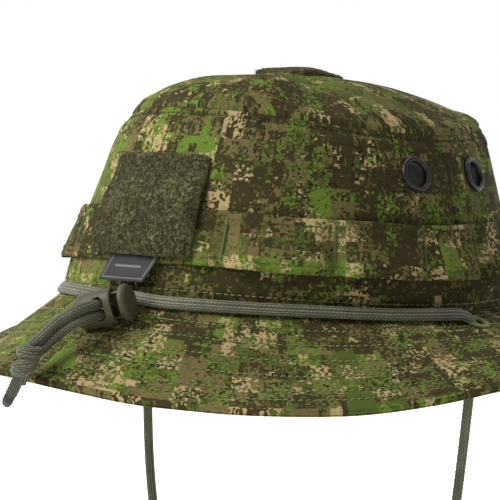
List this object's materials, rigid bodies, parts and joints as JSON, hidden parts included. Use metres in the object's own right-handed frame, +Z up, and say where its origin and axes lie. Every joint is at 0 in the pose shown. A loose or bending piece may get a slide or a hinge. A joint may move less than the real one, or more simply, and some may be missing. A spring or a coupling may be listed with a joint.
{
  "type": "boonie hat",
  "caption": "Soft field hat with a drooping round brim, a foliage-loop band, pile patches, vent eyelets and a chin cord with a cord lock.",
  "frame": {"origin": "centre of the head opening, at the mean height of the seam between crown and brim", "axes": "+Z up, forehead at -Y, rear of the hat at +Y, wearer's right at -X"},
  "size_m": [0.286, 0.3159, 0.3046],
  "materials": {
    "camo_cloth": "printed ripstop cotton blend, matte",
    "lining_cloth": "plain woven tape, matte",
    "interlining": "stiff non-woven",
    "loop_pile": "brushed loop pile, fuzzy",
    "label_weave": "satin woven label",
    "thread": "polyester sewing thread",
    "braided_cord": "flattened braided nylon cord",
    "eyelet_metal": "dark gunmetal lacquer",
    "vent_mesh": "fine dark mesh",
    "lock_plastic": "fine moulded texture",
    "spring_steel": "bright wire"
  },
  "bodies": {
    "hat": {"crown_top_panel": "camo_cloth", "crown_front_panel": "camo_cloth", "crown_rear_panel": "camo_cloth", "brim_upper": "camo_cloth", "brim_lower": "camo_cloth", "foliage_band": "camo_cloth", "brim_stiffener": "interlining", "top_seam_tape": "lining_cloth", "side_seam_tapes": "lining_cloth", "sweatband": "lining_cloth", "rear_loop_patch": "loop_pile", "top_loop_patch": "loop_pile", "woven_label": "label_weave", "size_label": "label_weave", "band_bartacks": "thread", "cord_hole_stitching_right": "thread", "cord_hole_stitching_left": "thread", "eyelet_right_rear": "eyelet_metal", "eyelet_right_front": "eyelet_metal", "eyelet_left_front": "eyelet_metal", "eyelet_left_rear": "eyelet_metal", "eyelet_washers": "eyelet_metal", "eyelet_meshes": "vent_mesh", "cord_lock_body": "lock_plastic", "cord_lock_spring": "spring_steel", "rear_cord_right": "braided_cord", "rear_cord_left": "braided_cord", "chin_cord": "braided_cord", "cord_tail_upper": "braided_cord", "cord_tail_lower": "braided_cord", "tail_knot": "braided_cord", "cord_end_right": "braided_cord", "cord_end_left": "braided_cord"},
    "lock_button": {"cord_lock_button": "lock_plastic"}
  },
  "joints": [
    {"name": "button_press", "type": "slide", "parent": "hat", "child": "lock_button", "axis": [0.885, 0.385, -0.262], "range_m": [0, 0.0035], "stiffness_N_per_m": 1500, "springref_m": -0.0015, "deforming": ["cord_lock_spring"]}
  ]
}
